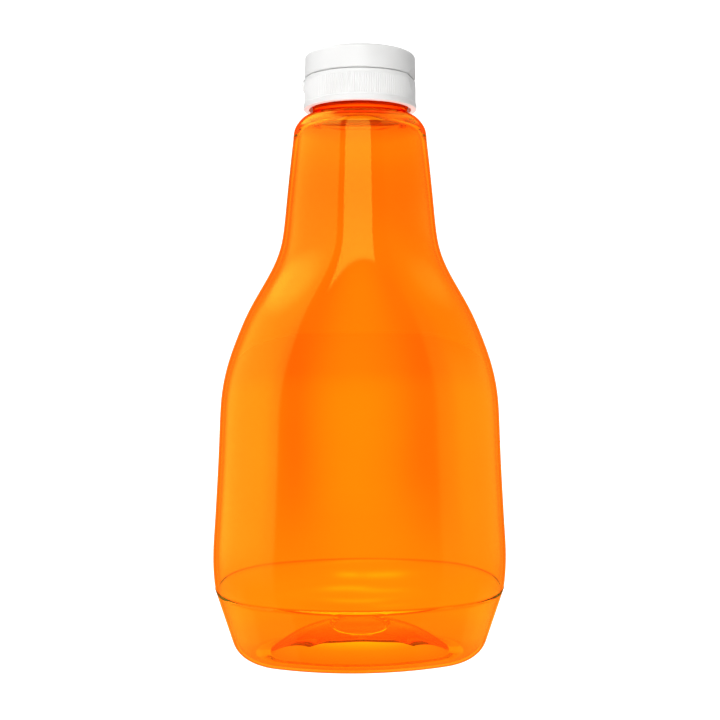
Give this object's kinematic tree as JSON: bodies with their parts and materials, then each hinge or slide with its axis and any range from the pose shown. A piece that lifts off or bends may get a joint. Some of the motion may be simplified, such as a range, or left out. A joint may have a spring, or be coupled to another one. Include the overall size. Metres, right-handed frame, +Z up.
{
  "type": "squeeze bottle",
  "caption": "Empty see-through orange honey squeeze bottle with an oval body, round tapering neck, crease above the base, and a ribbed white screw cap with a hinged flip lid.",
  "frame": {"origin": "centre of the base, on the surface the bottle stands on", "axes": "+Z up along the neck; X across the width; Y through the flattened depth, front towards -Y; the cap is turned 18 degrees, so the lid hinge is towards -X and a little back, and the thumb recess towards +X and a little forward"},
  "size_m": [0.1118, 0.0694, 0.226],
  "materials": {
    "tinted_plastic": "glossy see-through orange",
    "cap_plastic": "satin white"
  },
  "bodies": {
    "container": {"bottle": "tinted_plastic", "cap": "cap_plastic"},
    "flip_lid": {"lid": "cap_plastic"}
  },
  "joints": [
    {"name": "lid_flip", "type": "hinge", "parent": "container", "child": "flip_lid", "pos_m": [-0.02045, 0.00664, 0.21745], "axis": [-0.309, -0.9511, 0], "range_deg": [0, 150]}
  ]
}
